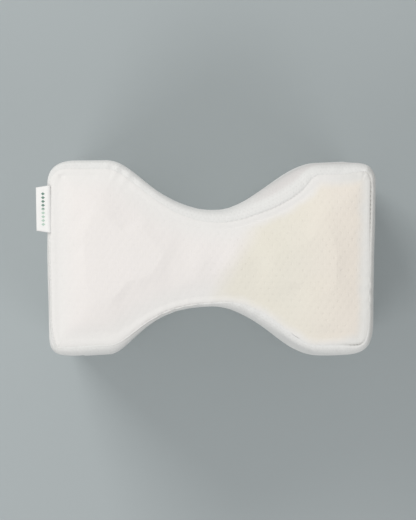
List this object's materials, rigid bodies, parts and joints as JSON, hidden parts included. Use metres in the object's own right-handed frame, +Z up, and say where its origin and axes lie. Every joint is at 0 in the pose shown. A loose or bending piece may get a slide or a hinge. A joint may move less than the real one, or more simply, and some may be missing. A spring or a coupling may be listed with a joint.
{
  "type": "knee pillow",
  "caption": "Hourglass foam pillow in a knit cover, placed between the knees: crowned front panel, flat back, a gusset with a hollow on each side, and a folded tape in the seam.",
  "frame": {"origin": "on the flat back panel that the pillow lies on, in the middle of the outline", "axes": "+X along the pillow's length, +Y across its ends, +Z up from the back panel out of the front panel"},
  "size_m": [0.2597, 0.1519, 0.2],
  "materials": {
    "cover_cloth": "matte white dimpled knit, slightly cream",
    "woven_tape": "smooth white satin weave"
  },
  "bodies": {
    "root": {"pillow": "cover_cloth", "side_tab": "woven_tape"}
  },
  "joints": []
}
